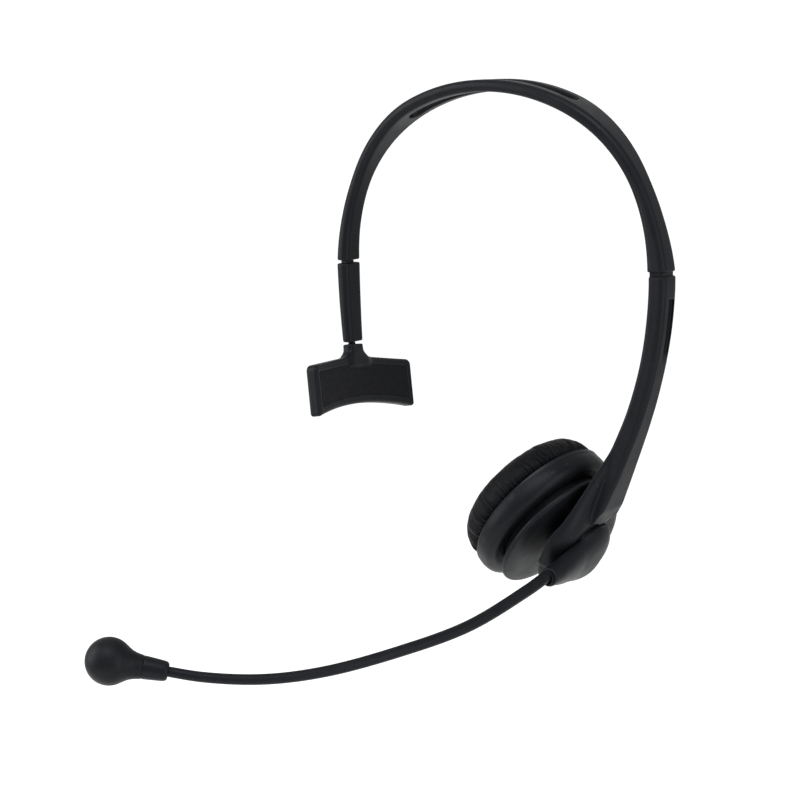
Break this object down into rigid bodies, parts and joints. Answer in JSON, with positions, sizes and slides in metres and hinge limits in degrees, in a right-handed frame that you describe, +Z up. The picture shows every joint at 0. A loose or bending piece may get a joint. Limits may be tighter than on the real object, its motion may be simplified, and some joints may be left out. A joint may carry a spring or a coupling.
{
  "type": "office headset",
  "caption": "Monaural office headset with a sprung slotted headband, sliding ear arm with a ball-jointed padded ear cup, swivelling temple bar and turning bendable microphone boom.",
  "frame": {"origin": "point of the headband's inner surface that rests on the crown of the head", "axes": "+Z up, the wearer faces -Y, +X towards the ear cup (the wearer's left)"},
  "size_m": [0.1258, 0.1823, 0.17],
  "materials": {
    "black_plastic": "satin moulded",
    "nylon": "matte",
    "steel": "bright",
    "dark_rubber": "matte",
    "ferrite": "matte",
    "film": "satin",
    "cloth": "woven",
    "board": "satin",
    "leatherette": "soft, wrinkled",
    "boom_sleeve": "satin",
    "windscreen": "satin"
  },
  "bodies": {
    "headband": {"headband": "black_plastic", "ear_side_tongue": "nylon", "temple_side_tongue": "nylon", "tongue_rivets": "steel"},
    "ear_arm": {"ear_arm_shell": "black_plastic", "slide_detent_spring": "steel", "hub_cover": "black_plastic", "hub_cover_screws": "steel", "ball_stud": "nylon", "turret_washer": "steel"},
    "ball_liner": {"ball_liner": "nylon"},
    "ear_cup": {"cup_back_shell": "black_plastic", "cup_seam_ring": "dark_rubber", "cup_front_ring": "black_plastic", "cable_gland": "dark_rubber", "baffle_plate": "black_plastic", "cup_screws": "steel", "driver_frame": "steel", "driver_diaphragm": "film", "driver_magnet": "ferrite", "speaker_grille": "nylon", "speaker_cloth": "cloth", "terminal_board": "board", "cushion_clip_ring": "black_plastic", "ear_cushion": "leatherette"},
    "boom_turret": {"turret_base": "black_plastic", "turret_clip": "steel", "turret_cap": "black_plastic", "boom_sleeve_root": "boom_sleeve", "boom_core_root": "steel"},
    "boom_middle": {"boom_sleeve_middle": "boom_sleeve", "boom_core_middle": "steel"},
    "boom_tip": {"boom_sleeve_tip": "boom_sleeve", "boom_core_tip": "steel", "mic_body": "black_plastic", "mic_windscreen": "windscreen", "mic_capsule": "steel", "mic_grommet": "dark_rubber"},
    "temple_arm": {"temple_sleeve": "black_plastic"},
    "temple_pad": {"temple_bar": "black_plastic", "temple_bar_pad": "dark_rubber"}
  },
  "joints": [
    {"name": "ear_arm_slide", "type": "hinge", "parent": "headband", "child": "ear_arm", "pos_m": [-0.06291, 0, -0.05657], "axis": [0, 1, 0], "range_deg": [0, 11.6]},
    {"name": "cup_tilt", "type": "hinge", "parent": "ear_arm", "child": "ball_liner", "pos_m": [0.02441, 0, -0.14096], "axis": [0, 1, 0], "range_deg": [-22, 1]},
    {"name": "cup_swivel", "type": "hinge", "parent": "ball_liner", "child": "ear_cup", "pos_m": [0.02441, 0, -0.14096], "axis": [-0.632, 0, -0.7749], "range_deg": [-9, 3]},
    {"name": "boom_turn", "type": "hinge", "parent": "ear_arm", "child": "boom_turret", "pos_m": [0.03098, 0, -0.14452], "axis": [0.8797, 0, -0.4756], "range_deg": [-34, 190]},
    {"name": "boom_bend_root", "type": "hinge", "parent": "boom_turret", "child": "boom_middle", "pos_m": [0.02318, -0.07008, -0.16], "axis": [-0.0475, -0.1215, 0.9915], "range_deg": [-25, 25]},
    {"name": "boom_bend_tip", "type": "hinge", "parent": "boom_middle", "child": "boom_tip", "pos_m": [0.00144, -0.10924, -0.16488], "axis": [-0.018, -0.024, 0.9996], "range_deg": [-25, 25]},
    {"name": "temple_arm_slide", "type": "slide", "parent": "headband", "child": "temple_arm", "axis": [-0.007, 0, -1], "range_m": [0, 0.012]},
    {"name": "temple_pad_swivel", "type": "hinge", "parent": "temple_arm", "child": "temple_pad", "pos_m": [-0.05907, 0, -0.08362], "axis": [-0.0558, 0, 0.9984], "range_deg": [-15, 15]}
  ]
}
